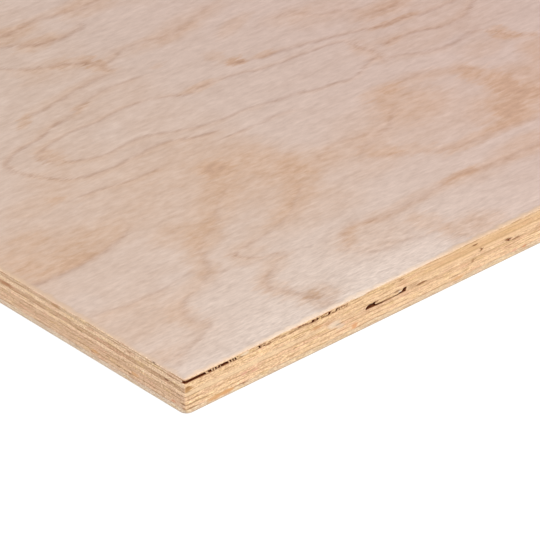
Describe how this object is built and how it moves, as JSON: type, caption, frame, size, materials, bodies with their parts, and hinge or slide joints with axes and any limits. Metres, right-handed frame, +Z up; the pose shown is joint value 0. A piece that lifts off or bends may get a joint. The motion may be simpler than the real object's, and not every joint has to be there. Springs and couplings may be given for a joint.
{
  "type": "plywood sheet",
  "caption": "Full sheet of hardwood plywood, pale sanded face veneer, bare sawn edges showing the glued plies, split core at one corner.",
  "frame": {"origin": "centre of the underside, on the surface the sheet lies on", "axes": "+X along the sheet's length and its face grain, +Y across its width, +Z up through the face veneer"},
  "size_m": [2.44, 1.22, 0.018],
  "materials": {
    "face_veneer": "sanded bare hardwood veneer",
    "long_ply": "bare sawn veneer edge, matt",
    "cross_ply": "bare sawn veneer edge, matt",
    "back_veneer": "sanded bare hardwood veneer"
  },
  "bodies": {
    "root": {"face_veneer": "face_veneer", "cross_ply_2": "cross_ply", "long_ply_3": "long_ply", "cross_ply_4": "cross_ply", "long_ply_5": "long_ply", "cross_ply_6": "cross_ply", "long_ply_7": "long_ply", "cross_ply_8": "cross_ply", "back_veneer": "back_veneer"}
  },
  "joints": []
}
